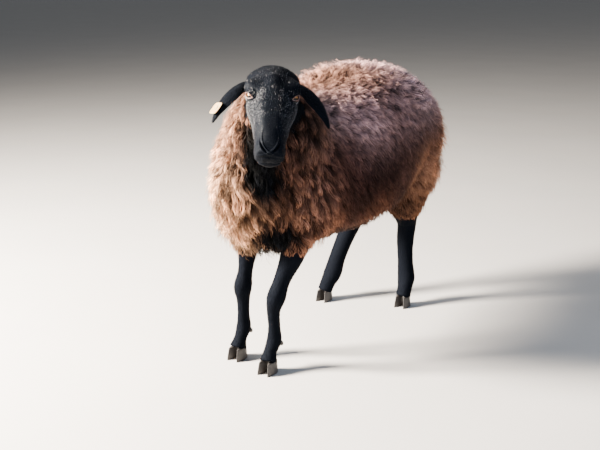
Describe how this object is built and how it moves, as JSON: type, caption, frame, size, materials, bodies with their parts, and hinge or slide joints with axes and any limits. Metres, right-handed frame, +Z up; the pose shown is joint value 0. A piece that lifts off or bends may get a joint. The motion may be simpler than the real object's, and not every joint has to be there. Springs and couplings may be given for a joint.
{
  "type": "fat-tailed coarsewool sheep model",
  "caption": "Life-size still model of a standing fat-tailed sheep in full wool, head turned to its left, black face and legs, drooping ears and a blank ear tag.",
  "frame": {"origin": "on the ground, under the middle of the bounding box", "axes": "+Z up, the animal faces -Y and its left side is +X; the body is longest along Y"},
  "size_m": [0.4736, 1.1122, 0.8005],
  "materials": {
    "wool": "coarse reddish-brown wool, matt",
    "short_hair": "short black hair with a soft sheen",
    "horn": "dark grey horn",
    "eye": "glossy amber-brown eye",
    "tag": "pale yellow flexible plastic, blank"
  },
  "bodies": {
    "root": {"head": "short_hair", "eye_left": "eye", "eye_right": "eye", "ear_left": "short_hair", "ear_right": "short_hair", "ear_tag": "tag", "neck": "wool", "torso": "wool", "fat_tail": "wool", "forearm_left": "wool", "forearm_right": "wool", "thigh_left": "wool", "thigh_right": "wool", "fore_leg_left": "short_hair", "fore_leg_right": "short_hair", "hind_leg_left": "short_hair", "hind_leg_right": "short_hair", "fore_claw_left_inner": "horn", "fore_claw_left_outer": "horn", "fore_claw_right_inner": "horn", "fore_claw_right_outer": "horn", "hind_claw_left_inner": "horn", "hind_claw_left_outer": "horn", "hind_claw_right_inner": "horn", "hind_claw_right_outer": "horn"}
  },
  "joints": []
}
